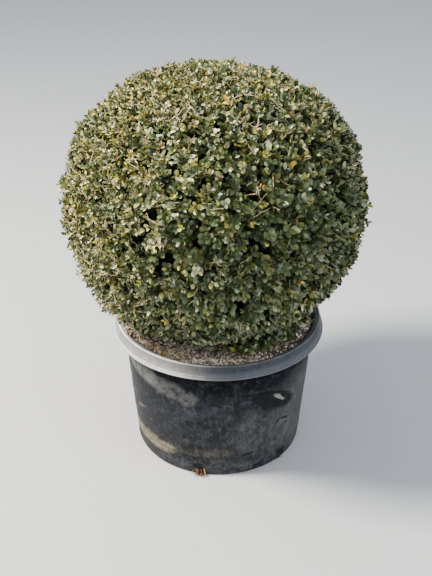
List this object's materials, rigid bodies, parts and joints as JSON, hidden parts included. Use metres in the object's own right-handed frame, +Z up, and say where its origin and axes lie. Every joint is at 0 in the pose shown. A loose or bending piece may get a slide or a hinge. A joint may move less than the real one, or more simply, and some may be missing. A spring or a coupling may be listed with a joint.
{
  "type": "potted box topiary ball",
  "caption": "Evergreen box shrub clipped to a ball, on a short branching stem, growing in a round dark nursery pot with a rolled collar.",
  "frame": {"origin": "middle of the pot's flat underside", "axes": "+Z up the plant; -Y is the side that the picture shows, and +X is on its right"},
  "size_m": [0.6683, 0.6738, 0.9144],
  "materials": {
    "pot_plastic": "weathered matt charcoal plastic, dusty, with scuffs and a dried mud line",
    "potting_soil": "crumbly brown potting mix with bark chips, pale specks and dry leaves",
    "bark": "rough grey-beige bark",
    "box_leaves": "small leathery leaves, dark green to olive, with tan and yellow ones among them"
  },
  "bodies": {
    "root": {"pot": "pot_plastic", "potting_soil": "potting_soil", "trunk": "bark", "bough_1": "bark", "bough_2": "bark", "bough_3": "bark", "bough_4": "bark", "bough_5": "bark", "bough_6": "bark", "foliage_ball": "box_leaves", "low_shoot_1": "box_leaves", "low_shoot_2": "box_leaves", "low_shoot_3": "box_leaves", "low_shoot_4": "box_leaves", "low_shoot_5": "box_leaves", "low_shoot_6": "box_leaves"}
  },
  "joints": []
}
